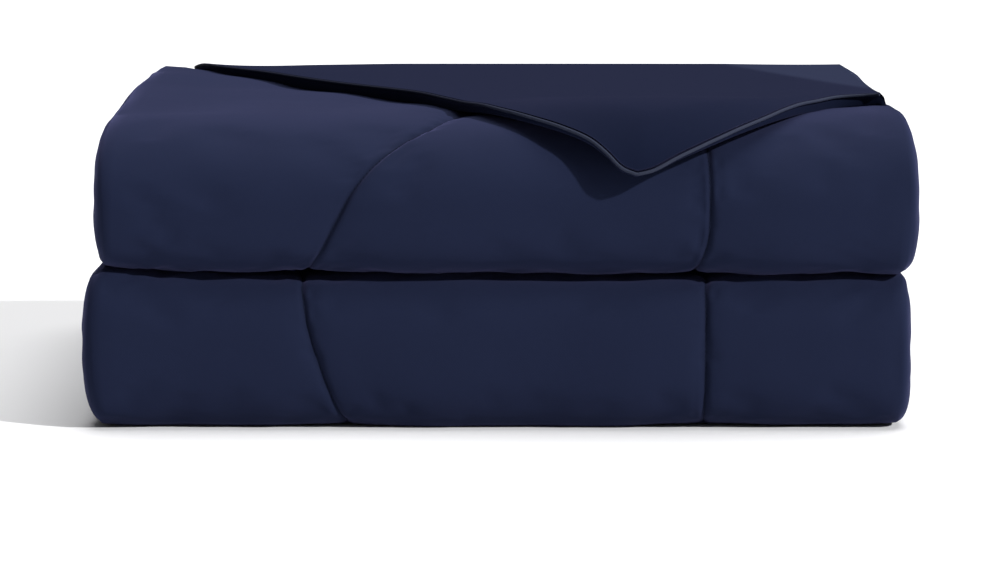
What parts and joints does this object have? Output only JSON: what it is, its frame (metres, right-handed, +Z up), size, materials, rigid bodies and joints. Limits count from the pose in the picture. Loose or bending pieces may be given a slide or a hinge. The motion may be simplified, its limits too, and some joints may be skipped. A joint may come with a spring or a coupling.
{
  "type": "folded cooling comforter",
  "caption": "Quilted, filled comforter folded into a square stack with smooth fold bends at the front and one loose piped corner lying over the top",
  "frame": {"origin": "on the surface that the stack lies on, under the middle of the whole part", "axes": "+X to the right along the fold bends, -Y towards the side with the two fold bends, +Z up"},
  "size_m": [0.5806, 0.589, 0.2259],
  "materials": {
    "navy_cloth": "smooth cool-touch knit with a soft sheen, dark navy",
    "piping_cloth": "smooth satin bias cloth over a thin cord, lighter navy"
  },
  "bodies": {
    "root": {"comforter": "navy_cloth", "edge_piping": "piping_cloth"}
  },
  "joints": []
}
